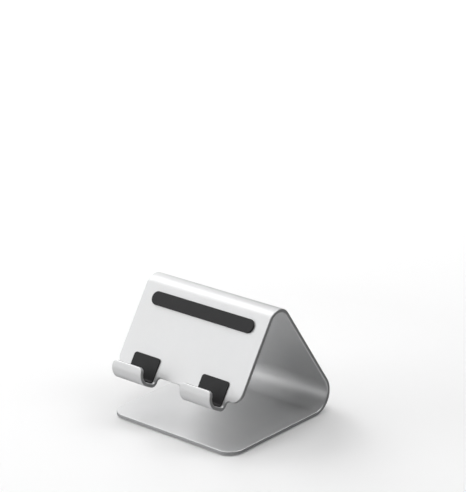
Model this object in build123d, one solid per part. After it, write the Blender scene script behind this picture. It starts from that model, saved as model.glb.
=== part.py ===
from build123d import *
import math
import os

# Tablet stand bent from one aluminium sheet: a flat base, a riser that leans forward over it, a rest
# that comes back down towards the front, and two J-shaped hooks that hold the tablet's lower edge.
# Silicone liners, a rest strip and four feet are stuck on with thin adhesive film.
# Millimetres. +X is the user's right, -Y faces the user, +Z is up, and the feet stand on Z = 0.
# The side view is drawn in Y and Z with the base's front edge at Y = 0, and everything is centred
# on Y when it is written.

# Sheet
SHEET = 3.0
WIDTH = 132.4
EDGE_CHAMFER = 0.4
BASE_CORNER_RADIUS = 12.6

# Lengths of the flats between sharp bend corners, measured along the sheet's outer side, which
# becomes the side that faces the tablet
BASE_LENGTH = 123.5
RISER_LENGTH = 127.2
REST_LENGTH = 92.2
HOOK_FLOOR_LENGTH = 13.8
LIP_LENGTH = 10.1

# Headings of the flats in the side view, in degrees from the +Y axis
BASE_HEADING = 0.0
RISER_HEADING = 120.0
REST_HEADING = 235.0
HOOK_FLOOR_HEADING = 150.5
LIP_HEADING = 68.0

# Bend radii on the same side as the lengths
REAR_BEND = 17.5
TOP_BEND = 12.0
HOOK_HEEL_BEND = 2.5
HOOK_TOE_BEND = 7.0

# Hooks, and the lower edge of the rest between and beside them
HOOK_WIDTH = 32.0
HOOK_CENTRE = 36.75
HOOK_ROOT_RADIUS = 3.0
LIP_CORNER_RADIUS = 4.0
REST_EDGE_ABOVE_HEEL = 6.0
REST_CORNER_RADIUS = 9.0

# Silicone parts, each on its adhesive film
FILM = 0.15
LINER_THICKNESS = 0.9
LINER_INSET = 2.0
LINER_BELOW_LIP_TIP = 0.5
LINER_UP_REST = 20.0
LINER_CORNER_RADIUS = 2.5
STRIP_THICKNESS = 1.4
STRIP_WIDTH = 108.0
STRIP_HEIGHT = 11.0
STRIP_BELOW_TOP_CORNER = 28.0
STRIP_EDGE_CHAMFER = 0.3
FOOT_THICKNESS = 0.65
FOOT_RADIUS = 6.0
FOOT_EDGE_CHAMFER = 0.2
FOOT_FROM_SIDE = 14.0
FRONT_FOOT_Y = 14.0
REAR_FOOT_Y = 86.0

SIDES = {"left": -1, "right": 1}

# Limits for picking edges: distance in millimetres, then cosines
TOUCH = 0.01
PARALLEL = 0.999
SHARP = 0.5


def heading(degrees):
    return Vector(math.cos(math.radians(degrees)), math.sin(math.radians(degrees)))


def walk(start, legs):
    """Corners reached from start by legs of (length, heading) in the side view."""
    corners = [Vector(*start)]
    for length, degrees in legs:
        corners.append(corners[-1] + heading(degrees) * length)
    return corners


def extrude_side_view(outline, width, x_centre):
    """A closed side-view outline, extruded along X about x_centre."""
    profile = Plane.YZ * make_face(outline)
    return Pos(x_centre - width / 2, 0, 0) * extrude(profile, width, dir=(1, 0, 0))


def beside(corners, radii, distance):
    """The filleted path through corners, moved sideways: to its left if distance is positive."""
    runs = [(b - a).normalized() for a, b in zip(corners, corners[1:])]
    normals = [Vector(-run.Y, run.X) for run in runs]
    moved = [corners[0] + normals[0] * distance]
    moved_radii = []
    for i, radius in enumerate(radii):
        before, after = normals[i], normals[i + 1]
        moved.append(corners[i + 1] + (before + after) * (distance / (1 + before.dot(after))))
        turns_left = runs[i].cross(runs[i + 1]).Z > 0
        moved_radii.append(radius - distance if turns_left else radius + distance)
    moved.append(corners[-1] + normals[-1] * distance)
    return FilletPolyline(*moved, radius=moved_radii)


def bent_layer(corners, radii, near, far, width, x_centre):
    """A layer that follows the bends, between two distances beside the path."""
    inner = beside(corners, radii, near)
    outer = beside(corners, radii, far)
    ends = [Line(inner @ 0, outer @ 0), Line(inner @ 1, outer @ 1)]
    return extrude_side_view(inner.edges() + outer.edges() + ends, width, x_centre)


def across_sheet(solid, degrees, corner):
    """Edges that run through the sheet along a side-view heading, at a side-view corner."""
    along = Vector(0, heading(degrees).X, heading(degrees).Y)
    found = ShapeList()
    for edge in solid.edges().filter_by(GeomType.LINE):
        middle = edge @ 0.5
        near = (Vector(middle.Y, middle.Z) - corner).length < SHEET
        if near and abs((edge % 0.5).dot(along)) > PARALLEL:
            found.append(edge)
    return found


def sharp_edges(solid):
    """Edges whose two faces meet at an angle."""
    found = ShapeList()
    for edge in solid.edges():
        middle = edge @ 0.5
        first, second = [face.normal_at(middle) for face in solid.faces() if edge in face.edges()]
        if abs(first.dot(second)) < SHARP:
            found.append(edge)
    return found


# Side-view corners, and the directions of the rest
START, REAR, TOP, HEEL, TOE, LIP_TIP = walk(
    (0.0, FOOT_THICKNESS + FILM),
    [
        (BASE_LENGTH, BASE_HEADING),
        (RISER_LENGTH, RISER_HEADING),
        (REST_LENGTH, REST_HEADING),
        (HOOK_FLOOR_LENGTH, HOOK_FLOOR_HEADING),
        (LIP_LENGTH, LIP_HEADING),
    ],
)
UP_REST = heading(REST_HEADING + 180)
OFF_REST = heading(REST_HEADING - 90)
REST_PLANE = Plane(
    origin=(0, TOP.X, TOP.Y), x_dir=(1, 0, 0), z_dir=(0, OFF_REST.X, OFF_REST.Y)
)


def make_stand_body():
    bends = [REAR_BEND, TOP_BEND, HOOK_HEEL_BEND, HOOK_TOE_BEND]
    corners = [START, REAR, TOP, HEEL, TOE, LIP_TIP]
    body = bent_layer(corners, bends, 0, SHEET, WIDTH, 0)

    # Below the rest's lower edge only the two hooks are left of the sheet's width
    edge = HEEL + UP_REST * REST_EDGE_ABOVE_HEEL
    behind = OFF_REST * -2 * SHEET
    beyond_lips = OFF_REST * 3 * HOOK_FLOOR_LENGTH
    above_lips = UP_REST * 2 * LIP_LENGTH
    below_hooks = UP_REST * -2 * HOOK_FLOOR_LENGTH
    hooks_only = Polyline(
        edge + behind,
        edge,
        edge + OFF_REST,
        edge + OFF_REST + above_lips,
        edge + beyond_lips + above_lips,
        edge + beyond_lips + below_hooks,
        edge + behind + below_hooks,
        close=True,
    ).edges()
    gap = 2 * HOOK_CENTRE - HOOK_WIDTH
    body -= extrude_side_view(hooks_only, gap, 0)
    for sign in SIDES.values():
        beside_hook = sign * (HOOK_CENTRE + (HOOK_WIDTH + WIDTH) / 2)
        body -= extrude_side_view(hooks_only, WIDTH, beside_hook)
    body = body.solid()

    # Rounded corners in the plane of the sheet
    body = body.fillet(BASE_CORNER_RADIUS, across_sheet(body, BASE_HEADING + 90, START))
    body = body.fillet(LIP_CORNER_RADIUS, across_sheet(body, LIP_HEADING + 90, LIP_TIP))
    for radius, at_sheet_side in ((HOOK_ROOT_RADIUS, False), (REST_CORNER_RADIUS, True)):
        rest_corners = across_sheet(body, REST_HEADING + 90, edge)
        picked = ShapeList()
        for corner in rest_corners:
            if (WIDTH / 2 - abs(corner.center().X) < TOUCH) == at_sheet_side:
                picked.append(corner)
        body = body.fillet(radius, picked)
    return body.chamfer(EDGE_CHAMFER, None, sharp_edges(body))


def make_liner(x_centre, gap, thickness):
    """One J-shaped layer inside a hook, from just below the lip's tip to a little way up the rest."""
    upper_end = HEEL + UP_REST * LINER_UP_REST
    lip_end = LIP_TIP - heading(LIP_HEADING) * LINER_BELOW_LIP_TIP
    bends = [HOOK_HEEL_BEND, HOOK_TOE_BEND]
    width = HOOK_WIDTH - 2 * LINER_INSET
    corners = [upper_end, HEEL, TOE, lip_end]
    liner = bent_layer(corners, bends, -gap, -gap - thickness, width, x_centre)
    ends = liner.edges().filter_by(lambda e: abs(e.length - thickness) < TOUCH)
    return liner.solid().fillet(LINER_CORNER_RADIUS, ends)


def make_strip(gap, thickness):
    """One round-ended layer near the top of the rest, where the tablet's back leans."""
    outline = SlotOverall(STRIP_WIDTH, STRIP_HEIGHT)
    strip = extrude(Pos(0, -STRIP_BELOW_TOP_CORNER, gap) * outline, thickness)
    return strip.solid()


def make_rest_strip():
    strip = make_strip(FILM, STRIP_THICKNESS)
    front_rim = strip.faces().sort_by(Axis.Z)[-1].outer_wire().edges()
    return REST_PLANE * strip.chamfer(STRIP_EDGE_CHAMFER, None, front_rim)


def make_foot(x, y):
    foot = Pos(x, y, FOOT_THICKNESS / 2) * Cylinder(FOOT_RADIUS, FOOT_THICKNESS)
    rim = foot.edges().filter_by(GeomType.CIRCLE).sort_by(Axis.Z)[0]
    return foot.solid().chamfer(FOOT_EDGE_CHAMFER, None, [rim])


def make_foot_film(x, y):
    return Pos(x, y, FOOT_THICKNESS + FILM / 2) * Cylinder(FOOT_RADIUS, FILM)


nodes = {"stand_body": make_stand_body()}
for side, sign in SIDES.items():
    x = sign * HOOK_CENTRE
    nodes["hook_liner_film_" + side] = make_liner(x, 0, FILM)
    nodes["hook_liner_" + side] = make_liner(x, FILM, LINER_THICKNESS)
nodes["rest_strip_film"] = REST_PLANE * make_strip(0, FILM)
nodes["rest_strip"] = make_rest_strip()
for side, sign in SIDES.items():
    x = sign * (WIDTH / 2 - FOOT_FROM_SIDE)
    for place, y in {"front": FRONT_FOOT_Y, "rear": REAR_FOOT_Y}.items():
        nodes[f"foot_{place}_{side}"] = make_foot(x, y)
        nodes[f"foot_film_{place}_{side}"] = make_foot_film(x, y)

# The origin goes to the bottom centre of the whole stand
body_box = nodes["stand_body"].bounding_box()
to_centre = Pos(0, -(body_box.min.Y + body_box.max.Y) / 2, 0)
os.makedirs("parts", exist_ok=True)
for name, solid in nodes.items():
    export_step(to_centre * solid, f"parts/{name}.step")
    print(name, round(solid.volume, 1), solid.is_valid)
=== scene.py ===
import math

import bpy
from mathutils import Matrix, Vector, geometry


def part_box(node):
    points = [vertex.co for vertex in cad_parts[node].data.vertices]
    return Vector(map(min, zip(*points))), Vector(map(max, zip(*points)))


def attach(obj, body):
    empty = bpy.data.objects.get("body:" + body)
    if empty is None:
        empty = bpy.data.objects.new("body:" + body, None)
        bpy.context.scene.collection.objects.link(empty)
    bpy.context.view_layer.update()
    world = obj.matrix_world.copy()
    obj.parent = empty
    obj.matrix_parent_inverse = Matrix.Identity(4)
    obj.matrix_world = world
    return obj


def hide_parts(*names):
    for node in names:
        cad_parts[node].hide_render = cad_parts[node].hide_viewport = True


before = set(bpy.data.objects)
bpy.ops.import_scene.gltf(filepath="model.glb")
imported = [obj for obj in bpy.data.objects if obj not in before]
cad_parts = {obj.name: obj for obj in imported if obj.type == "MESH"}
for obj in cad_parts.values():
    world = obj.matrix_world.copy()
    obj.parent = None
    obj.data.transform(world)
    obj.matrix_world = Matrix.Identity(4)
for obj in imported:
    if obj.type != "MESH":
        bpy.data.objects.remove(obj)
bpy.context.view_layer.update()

MM = 0.001

# The stand's driving dimensions, in millimetres, as in the CAD source. Each leg is the length and the
# heading in degrees of a flat in the side view, and each bend is the radius between two of them.
SHEET = 3.0
SHEET_CHAMFER = 0.4
REST_HEADING = 235.0
LIP_HEADING = 68.0
LEGS = [(123.5, 0.0), (127.2, 120.0), (92.2, REST_HEADING), (13.8, 150.5), (10.1, LIP_HEADING)]
BENDS = [17.5, 12.0, 2.5, 7.0]
HALF_WIDTH = 66.2
BASE_CORNER_RADIUS = 12.6
HOOK_INNER = 20.75
HOOK_OUTER = 52.75
HOOK_ROOT_RADIUS = 3.0
LIP_CORNER_RADIUS = 4.0
REST_EDGE_ABOVE_HEEL = 6.0
REST_CORNER_RADIUS = 9.0
FILM = 0.15
LINER_THICKNESS = 0.9
LINER_INSET = 2.0
LINER_BELOW_LIP_TIP = 0.5
LINER_UP_REST = 20.0
LINER_CORNER_RADIUS = 2.5
LINER_EDGE = 0.25
STRIP_HALF_WIDTH = 54.0
STRIP_HALF_HEIGHT = 5.5
STRIP_THICKNESS = 1.4
STRIP_BELOW_TOP_CORNER = 28.0
STRIP_EDGE = 0.45
FOOT_RADIUS = 6.0
FOOT_THICKNESS = 0.65
FOOT_EDGE = 0.2
FOOT_FROM_SIDE = 14.0
FOOT_FROM_FRONT = {"front": 14.0, "rear": 86.0}

SIDES = {"left": -1, "right": 1}

# Mesh fineness: degrees of turn between points, and the least number of steps in a turn
BEND_STEP = 3
CORNER_STEP = 5
LEAST_BEND_STEPS = 4
LEAST_CORNER_STEPS = 6
ROUND_STEPS = 4

# The part of a chamfer's size over which its shading turns into the flat beside it
CHAMFER_BLEND = 0.15

# Millimetres within which two points or heights are the same
SAME_POINT = 1e-6
SAME_ROW = 1e-5
CLEAR_OF_ROW = 1e-4


def heading(degrees):
    return Vector((math.cos(math.radians(degrees)), math.sin(math.radians(degrees))))


def turn_between(before, after):
    """The angle that turns one side-view direction into the next, positive to the left."""
    return math.atan2(before.cross(after), before.dot(after))


def left_of(direction):
    return Vector((-direction.y, direction.x))


class Path:
    """A side-view line of flats and arcs. Distance along it is in millimetres."""

    def __init__(self, corners, radii):
        runs = [(b - a).normalized() for a, b in zip(corners, corners[1:])]
        turns = [turn_between(before, after) for before, after in zip(runs, runs[1:])]
        trims = [0.0]
        for radius, turn in zip(radii, turns):
            trims.append(radius * math.tan(abs(turn) / 2))
        trims.append(0.0)
        self.parts = []
        self.rows = []
        self.length = 0.0
        for i, run in enumerate(runs):
            start = corners[i] + run * trims[i]
            flat = (corners[i + 1] - corners[i]).length - trims[i] - trims[i + 1]
            self.add_part(flat, start, run, None, 0.0)
            if i < len(radii):
                bend_start = self.length
                arc = radii[i] * abs(turns[i])
                self.add_part(arc, start + run * flat, run, radii[i], turns[i])
                steps = max(LEAST_BEND_STEPS, math.ceil(abs(math.degrees(turns[i])) / BEND_STEP))
                self.rows += [bend_start + arc * k / steps for k in range(steps + 1)]

    def add_part(self, length, start, run, radius, turn):
        self.parts.append((self.length, self.length + length, start, run, radius, turn))
        self.length += length

    def at(self, s):
        """The point at distance s, and the unit normal to the left of the path."""
        for low, high, start, run, radius, turn in self.parts:
            if s <= high + SAME_POINT:
                break
        left = left_of(run)
        if radius is None:
            return start + run * (s - low), left
        side = math.copysign(1.0, turn)
        centre = start + left * side * radius
        turned = Matrix.Rotation(side * (s - low) / radius, 2) @ left
        return centre - turned * side * radius, turned

    def distance(self, point):
        """How far along the path the flat point nearest to this one is."""
        nearest = []
        for low, high, start, run, radius, turn in self.parts:
            if radius is None:
                along = min(max((point - start).dot(run), 0.0), high - low)
                nearest.append(((start + run * along - point).length, low + along))
        return min(nearest)[1]


def corners_from(start, legs):
    corners = [Vector(start)]
    for length, degrees in legs:
        corners.append(corners[-1] + heading(degrees) * length)
    return corners


def corner_arc(before, here, after, radius):
    """The points and outward normals round one corner of an anticlockwise outline."""
    run_in = (here - before).normalized()
    run_out = (after - here).normalized()
    turn = turn_between(run_in, run_out)
    side = math.copysign(1.0, turn)
    left = left_of(run_in)
    start = here - run_in * (radius * math.tan(abs(turn) / 2))
    centre = start + left * side * radius
    steps = max(LEAST_CORNER_STEPS, math.ceil(abs(math.degrees(turn)) / CORNER_STEP))
    arc = []
    for k in range(steps + 1):
        turned = Matrix.Rotation(turn * k / steps, 2) @ left
        arc.append((centre - turned * side * radius, -turned))
    return arc


def rounded_outline(corners, rows):
    """A closed outline in (x, distance) from anticlockwise corners (x, distance, radius), as points with
    outward normals. Straight sides get a point at each row that they cross."""
    points = [Vector(corner[:2]) for corner in corners]
    count = len(corners)
    arcs = []
    for i, here in enumerate(points):
        arcs.append(corner_arc(points[i - 1], here, points[(i + 1) % count], corners[i][2]))
    outline = []
    for i, arc in enumerate(arcs):
        meets = outline and (arc[0][0] - outline[-1][0]).length < SAME_POINT
        outline += arc[1:] if meets else arc
        a, normal = arc[-1]
        b = arcs[(i + 1) % count][0][0]
        low, high = sorted((a.y, b.y))
        crossed = [row for row in rows if low + CLEAR_OF_ROW < row < high - CLEAR_OF_ROW]
        if b.y < a.y:
            crossed.reverse()
        for row in crossed:
            outline.append((a.lerp(b, (row - a.y) / (b.y - a.y)), normal))
    if (outline[0][0] - outline[-1][0]).length < SAME_POINT:
        outline.pop()
    return outline


def chamfer_profile(edge):
    """Rows of (inset, depth, tilt, worn, cut) from a broad side, over a flat chamfer, to the wall."""
    blend = edge * CHAMFER_BLEND
    slope = math.radians(45)
    return [
        (edge + blend, 0.0, 0.0, 0.0, 0.0),
        (edge - blend, blend, slope, 1.0, 0.0),
        (blend, edge - blend, slope, 1.0, 0.0),
        (0.0, edge + blend, math.pi / 2, 0.0, 1.0),
    ]


def round_profile(edge):
    """The same rows over a round edge."""
    rows = []
    for k in range(ROUND_STEPS + 1):
        tilt = math.pi / 2 * k / ROUND_STEPS
        rows.append((edge * (1 - math.sin(tilt)), edge * (1 - math.cos(tilt)), tilt, 0.0, 0.0))
    return rows


def fill_broad_sides(name, flat, rows):
    """Triangles that fill an outline, cut along the rows so that they follow the bends."""
    count = len(flat)
    edges = [(i, (i + 1) % count) for i in range(count)]
    for row in rows:
        on_row = [i for i in range(count) if abs(flat[i].y - row) < SAME_ROW]
        on_row.sort(key=lambda i: flat[i].x)
        edges += list(zip(on_row[0::2], on_row[1::2]))
    fill = geometry.delaunay_2d_cdt(flat, edges, [list(range(count))], 1, SAME_POINT)
    triangles, origins = fill[2], fill[3]
    assert all(origins), name + ": the fill made a point of its own"
    return [[origins[k][0] for k in triangle] for triangle in triangles]


def layer(name, path, outline, near, far, profile):
    """A layer of sheet that follows a path: the outline in (x, distance), between two distances beside the
    path, with both its edges eased by the profile. Points carry how worn they are, and whether they are
    on the cut wall."""
    low_side, high_side = sorted((near, far))
    rings = [(inset, high_side - depth, tilt, 1, worn, cut) for inset, depth, tilt, worn, cut in profile]
    for inset, depth, tilt, worn, cut in reversed(profile):
        rings.append((inset, low_side + depth, tilt, -1, worn, cut))

    verts, normals = [], []
    surface = {"worn": [], "cut": []}
    for inset, beside_path, tilt, sign, worn, cut in rings:
        for outline_point, out in outline:
            x, s = outline_point - out * inset
            point, left = path.at(s)
            along = -left_of(left)
            centre = point + left * beside_path
            verts.append(Vector((x * MM, (centre.x + TO_FRAME_Y) * MM, centre.y * MM)))
            tilted = along * out.y * math.sin(tilt) + left * sign * math.cos(tilt)
            normals.append(Vector((out.x * math.sin(tilt), tilted.x, tilted.y)).normalized())
            surface["worn"].append(worn)
            surface["cut"].append(cut)

    count = len(outline)
    faces = []
    for ring in range(0, (len(rings) - 1) * count, count):
        for i in range(count):
            j = (i + 1) % count
            faces.append((ring + i, ring + count + i, ring + count + j, ring + j))
    first_inset = rings[0][0]
    last_ring = (len(rings) - 1) * count
    flat = [point - out * first_inset for point, out in outline]
    for a, b, c in fill_broad_sides(name, flat, path.rows):
        faces.append((a, b, c))
        faces.append((last_ring + c, last_ring + b, last_ring + a))

    mesh = bpy.data.meshes.new(name)
    mesh.from_pydata(verts, [], faces)
    mesh.update()
    mesh.polygons.foreach_set("use_smooth", [True] * len(mesh.polygons))
    mesh.normals_split_custom_set_from_vertices(normals)
    for key, values in surface.items():
        mesh.attributes.new(key, "FLOAT", "POINT").data.foreach_set("value", values)
    piece = bpy.data.objects.new(name, mesh)
    bpy.context.scene.collection.objects.link(piece)
    return piece


# The side view is drawn with the base's front edge at Y = 0 and the feet on Z = 0
START, REAR, TOP, HEEL, TOE, LIP_TIP = corners_from((0.0, FOOT_THICKNESS + FILM), LEGS)
UP_REST = heading(REST_HEADING + 180)
LINER_TOP = HEEL + UP_REST * LINER_UP_REST
LINER_TIP = LIP_TIP - heading(LIP_HEADING) * LINER_BELOW_LIP_TIP
body_path = Path([START, REAR, TOP, HEEL, TOE, LIP_TIP], BENDS)
liner_path = Path([LINER_TOP, HEEL, TOE, LINER_TIP], BENDS[2:])
rest_path = Path([TOP, HEEL], [])
base_path = Path([START, REAR], [])

# It moves along Y so that its lowest Y, at the hooks' toes, is where the CAD body's is
hooks_front = min(body_path.at(s)[0].x + body_path.at(s)[1].x * SHEET for s in body_path.rows)
TO_FRAME_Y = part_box("stand_body")[0].y / MM - hooks_front


def body_outline():
    rest_edge = body_path.distance(HEEL + UP_REST * REST_EDGE_ABOVE_HEEL)
    lip_edge = body_path.length
    corners = [
        (-HALF_WIDTH, 0.0, BASE_CORNER_RADIUS),
        (HALF_WIDTH, 0.0, BASE_CORNER_RADIUS),
        (HALF_WIDTH, rest_edge, REST_CORNER_RADIUS),
    ]
    for low, high in ((HOOK_INNER, HOOK_OUTER), (-HOOK_OUTER, -HOOK_INNER)):
        corners.append((high, rest_edge, HOOK_ROOT_RADIUS))
        corners.append((high, lip_edge, LIP_CORNER_RADIUS))
        corners.append((low, lip_edge, LIP_CORNER_RADIUS))
        corners.append((low, rest_edge, HOOK_ROOT_RADIUS))
    corners.append((-HALF_WIDTH, rest_edge, REST_CORNER_RADIUS))
    return rounded_outline(corners, body_path.rows)


def box_outline(x, half_width, s_low, s_high, radius, rows=()):
    low, high = x - half_width, x + half_width
    corners = [(low, s_low, radius), (high, s_low, radius), (high, s_high, radius), (low, s_high, radius)]
    return rounded_outline(corners, rows)


class Nodes:
    """A node tree, with short ways to add to it."""

    def __init__(self, tree):
        self.tree = tree

    def feed(self, socket, value):
        """Links a socket to another node's output, or sets it to a colour or a plain value."""
        if isinstance(value, bpy.types.NodeSocket):
            self.tree.links.new(value, socket)
        elif isinstance(value, tuple):
            socket.default_value = (*value, 1)
        else:
            socket.default_value = value

    def math(self, operation, a, b):
        node = self.tree.nodes.new("ShaderNodeMath")
        node.operation = operation
        self.feed(node.inputs[0], a)
        self.feed(node.inputs[1], b)
        return node.outputs[0]

    def vector_math(self, operation, a, b=None):
        node = self.tree.nodes.new("ShaderNodeVectorMath")
        node.operation = operation
        self.feed(node.inputs[0], a)
        if b is not None:
            self.feed(node.inputs[1], b)
        return node.outputs["Value"]


class Material(Nodes):
    """A Principled material whose patterns are laid out in the object's own coordinates."""

    def __init__(self, name, colour, metallic, roughness):
        self.material = bpy.data.materials.new(name)
        self.material.use_nodes = True
        super().__init__(self.material.node_tree)
        self.shader = self.tree.nodes["Principled BSDF"]
        self.set("Base Color", colour)
        self.set("Metallic", metallic)
        self.set("Roughness", roughness)
        self.place = self.tree.nodes.new("ShaderNodeTexCoord").outputs["Object"]

    def set(self, socket, value):
        self.feed(self.shader.inputs[socket], value)

    def noise(self, scale, detail):
        node = self.tree.nodes.new("ShaderNodeTexNoise")
        node.inputs["Scale"].default_value = scale
        node.inputs["Detail"].default_value = detail
        self.feed(node.inputs["Vector"], self.place)
        return node.outputs["Fac"]

    def ramp(self, value, low, high, to_low, to_high):
        node = self.tree.nodes.new("ShaderNodeMapRange")
        node.inputs["From Min"].default_value = low
        node.inputs["From Max"].default_value = high
        node.inputs["To Min"].default_value = to_low
        node.inputs["To Max"].default_value = to_high
        self.feed(node.inputs["Value"], value)
        return node.outputs["Result"]

    def mix(self, factor, a, b):
        """A colour from a to b."""
        node = self.tree.nodes.new("ShaderNodeMix")
        node.data_type = "RGBA"
        self.feed(node.inputs["Factor"], factor)
        colour_a, colour_b = [socket for socket in node.inputs if socket.type == "RGBA"]
        self.feed(colour_a, a)
        self.feed(colour_b, b)
        return next(socket for socket in node.outputs if socket.type == "RGBA")

    def distance(self):
        """How far a point is from the origin, in metres."""
        return self.vector_math("LENGTH", self.place)

    def attribute(self, name):
        node = self.tree.nodes.new("ShaderNodeAttribute")
        node.attribute_name = name
        return node.outputs["Fac"]

    def bump(self, heights):
        """Several bumps, as (height, strength, distance in metres), one on top of the other."""
        normal = None
        for height, strength, distance in heights:
            node = self.tree.nodes.new("ShaderNodeBump")
            node.inputs["Strength"].default_value = strength
            node.inputs["Distance"].default_value = distance
            self.feed(node.inputs["Height"], height)
            if normal:
                self.feed(node.inputs["Normal"], normal)
            normal = node.outputs["Normal"]
        self.set("Normal", normal)


def make_aluminium():
    """Fine bead-blasted, silver anodised sheet, with slightly worn chamfers, coarser cut walls, and painted
    shade that makes the cut walls much darker.
    """
    m = Material("satin_anodised_aluminium", (0.66, 0.663, 0.666), 0.86, 0.52)
    grain = m.noise(1900.0, 3.0)
    cloud = m.noise(38.0, 3.0)
    broken = m.noise(420.0, 4.0)
    cut = m.attribute("cut")
    worn = m.math("MULTIPLY", m.attribute("worn"), m.ramp(broken, 0.30, 0.55, 0.55, 1.0))
    tint = m.mix(m.ramp(cloud, 0.3, 0.7, 0.0, 1.0), (0.645, 0.649, 0.654), (0.675, 0.677, 0.679))
    # Painted shade: the cut walls get a much darker colour, standing in for the shade the sheet's thin walls
    # fall in. Only their extra roughness below is the walls' own finish.
    m.set("Base Color", m.mix(cut, tint, (0.40, 0.403, 0.408)))
    rough = m.math("ADD", m.ramp(cloud, 0.25, 0.75, 0.49, 0.54), m.ramp(grain, 0.3, 0.7, -0.06, 0.06))
    rough = m.math("ADD", rough, m.math("MULTIPLY", cut, 0.04))
    m.set("Roughness", m.math("SUBTRACT", rough, m.math("MULTIPLY", worn, 0.14)))
    m.bump([(grain, 0.5, 0.00006), (cloud, 0.05, 0.00002)])
    return m.material


def make_silicone(name, colour, dusty):
    """Matt silicone with a fine moulded grain and a little dust."""
    m = Material(name, colour, 0.0, 0.62)
    grain = m.noise(1700.0, 2.0)
    dust = m.noise(160.0, 5.0)
    m.set("Base Color", m.mix(m.ramp(dust, 0.4, 0.8, 0.0, 1.0), colour, dusty))
    rough = m.math("ADD", m.ramp(dust, 0.3, 0.7, 0.55, 0.68), m.ramp(grain, 0.3, 0.7, -0.04, 0.04))
    m.set("Roughness", rough)
    m.set("Specular IOR Level", 0.35)
    m.bump([(grain, 0.6, 0.00010)])
    return m.material


aluminium = make_aluminium()
silicone = make_silicone("black_silicone_rubber", (0.017, 0.017, 0.018), (0.024, 0.024, 0.025))
foot_silicone = make_silicone("foot_silicone_rubber", (0.027, 0.027, 0.028), (0.036, 0.036, 0.037))
adhesive = make_silicone("adhesive_film_edge", (0.10, 0.10, 0.10), (0.14, 0.14, 0.138))


def add(piece, node, material):
    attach(piece, "root")
    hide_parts(node)
    piece.data.materials.append(material)


def silicone_layer(name, path, outline, thickness, edge):
    """A layer on its adhesive film, on the right of a path, which is the sheet's outer side."""
    return layer(name, path, outline, -FILM, -FILM - thickness, round_profile(edge))


body = layer("sheet_body", body_path, body_outline(), 0.0, SHEET, chamfer_profile(SHEET_CHAMFER))
add(body, "stand_body", aluminium)

for side, sign in SIDES.items():
    x = sign * (HOOK_INNER + HOOK_OUTER) / 2
    half_width = (HOOK_OUTER - HOOK_INNER) / 2 - LINER_INSET
    outline = box_outline(x, half_width, 0.0, liner_path.length, LINER_CORNER_RADIUS, liner_path.rows)
    liner = silicone_layer("liner_" + side, liner_path, outline, LINER_THICKNESS, LINER_EDGE)
    add(liner, "hook_liner_" + side, silicone)

    x = sign * (HALF_WIDTH - FOOT_FROM_SIDE)
    for place, s in FOOT_FROM_FRONT.items():
        outline = box_outline(x, FOOT_RADIUS, s - FOOT_RADIUS, s + FOOT_RADIUS, FOOT_RADIUS)
        foot = silicone_layer(f"foot_disc_{place}_{side}", base_path, outline, FOOT_THICKNESS, FOOT_EDGE)
        add(foot, f"foot_{place}_{side}", foot_silicone)

strip_top = STRIP_BELOW_TOP_CORNER - STRIP_HALF_HEIGHT
strip_bottom = STRIP_BELOW_TOP_CORNER + STRIP_HALF_HEIGHT
outline = box_outline(0.0, STRIP_HALF_WIDTH, strip_top, strip_bottom, STRIP_HALF_HEIGHT)
strip = silicone_layer("strip_on_rest", rest_path, outline, STRIP_THICKNESS, STRIP_EDGE)
add(strip, "rest_strip", silicone)

for name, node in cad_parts.items():
    if "film" in name:
        for slot in node.material_slots:
            slot.material = adhesive

# Camera: its place in metres, and the angles that it looks back along, in degrees
CAMERA_PLACE = (1.172794, -1.135832, 0.740454)
CAMERA_AZIMUTH = math.radians(45.203)
CAMERA_ELEVATION = math.radians(20.263)
CAMERA_ROLL = math.radians(-3.672)

camera_data = bpy.data.cameras.new("camera")
camera_data.lens = 168.3
camera_data.sensor_width = 36.0
camera_data.clip_start = 0.05
camera_data.clip_end = 50.0
camera = bpy.data.objects.new("camera", camera_data)
bpy.context.scene.collection.objects.link(camera)
level_back = Vector((math.sin(CAMERA_AZIMUTH), -math.cos(CAMERA_AZIMUTH), 0))
back = level_back * math.cos(CAMERA_ELEVATION) + Vector((0, 0, math.sin(CAMERA_ELEVATION)))
level = Vector((0, 0, 1)).cross(back).normalized()
upright = back.cross(level)
across = level * math.cos(CAMERA_ROLL) + upright * math.sin(CAMERA_ROLL)
above = upright * math.cos(CAMERA_ROLL) - level * math.sin(CAMERA_ROLL)
turned = Matrix((across, above, back)).transposed()
camera.matrix_world = Matrix.Translation(CAMERA_PLACE) @ turned.to_4x4()
bpy.context.scene.camera = camera


def make_stage(piece, name, colour, specular):
    """Names a stage piece and gives it a matt material that gives off white light but isn't a lamp, and keeps
    it out of glossy rays.
    """
    piece.name = name
    m = Material(name, colour, 0.0, 0.9)
    m.set("Specular IOR Level", specular)
    m.set("Emission Color", (1, 1, 1))
    m.material.cycles.emission_sampling = "NONE"
    piece.data.materials.append(m.material)
    piece.visible_glossy = False
    return m


# Floor and backdrop. Neither shows in the metal: the glows below take the place of the floor there.
# The floor fades to white with distance, so that it meets the backdrop without a line.
bpy.ops.mesh.primitive_grid_add(x_subdivisions=4, y_subdivisions=4, size=40.0)
floor = make_stage(bpy.context.object, "floor", (0.92, 0.92, 0.92), 0.1)
floor.set("Emission Strength", floor.ramp(floor.distance(), 0.25, 3.0, 0.0, 0.95))

bpy.ops.mesh.primitive_uv_sphere_add(segments=48, ring_count=24, radius=18.0)
backdrop = bpy.context.object
make_stage(backdrop, "backdrop", (0, 0, 0), 0.0).set("Emission Strength", 1.0)
backdrop.visible_diffuse = False
backdrop.visible_transmission = False
backdrop.visible_shadow = False

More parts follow.
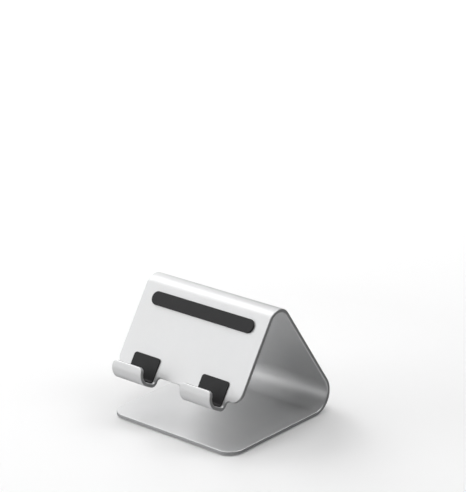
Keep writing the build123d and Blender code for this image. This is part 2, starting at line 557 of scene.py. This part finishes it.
# Soft glows from below the floor's level, in place of the floor's own reflection in the metal, as
# (direction, strength): front left, back right, front right, nearly straight below, and below left
GLOWS = [
    ((-0.64, -0.64, -0.42), 1.06),
    ((0.64, 0.64, -0.42), 0.3),
    ((0.64, -0.64, -0.42), 0.5),
    ((0.3, -0.2, -0.93), 0.5),
    ((-0.66, 0.0, -0.75), 0.12),
]
GLOW_SHARPNESS = 4.0

world = bpy.data.worlds.new("studio")
bpy.context.scene.world = world
world.use_nodes = True
sky = Nodes(world.node_tree)
direction = sky.tree.nodes.new("ShaderNodeTexCoord").outputs["Generated"]
glows = 0.0
for towards, strength in GLOWS:
    facing = sky.vector_math("DOT_PRODUCT", direction, Vector(towards).normalized())
    lobe = sky.math("POWER", sky.math("MAXIMUM", facing, 0.0), GLOW_SHARPNESS)
    glows = sky.math("ADD", glows, sky.math("MULTIPLY", lobe, strength))
height = sky.vector_math("DOT_PRODUCT", direction, Vector((0, 0, 1)))
below = sky.math("LESS_THAN", height, 0.0)
background = sky.tree.nodes["Background"]
sky.feed(background.inputs["Color"], sky.math("MULTIPLY", glows, below))
background.inputs["Strength"].default_value = 1.0


LAMP_DISTANCE = 2.2


def softbox(name, bearing, height, radiance, size=1.25):
    """A square softbox aimed at the stand. Bearing and height are in degrees, from +X and from the floor."""
    data = bpy.data.lights.new(name, "AREA")
    data.shape = "SQUARE"
    data.size = size
    data.energy = math.pi * size * size * radiance
    lamp = bpy.data.objects.new(name, data)
    bpy.context.scene.collection.objects.link(lamp)
    around = heading(bearing) * math.cos(math.radians(height))
    towards = Vector((around.x, around.y, math.sin(math.radians(height))))
    lamp.location = towards * LAMP_DISTANCE
    lamp.rotation_mode = "QUATERNION"
    lamp.rotation_quaternion = (-towards).to_track_quat("-Z", "Y")
    lamp.visible_camera = False


softbox("overhead", 0, 88, 3.1)
softbox("left_high", 180, 50, 3.0)
softbox("front_left_low", 225, 18, 2.6)
softbox("front_right", 315, 38, 0.15)
softbox("front_left_high", 225, 50, 1.1)
softbox("front_high", 270, 50, 1.0)
softbox("back_right_high", 30, 50, 2.3)
softbox("back_high", 90, 50, 1.0)
softbox("back_left_low", 150, 18, 2.1, size=1.5)
bpy.context.scene.view_settings.view_transform = "Standard"
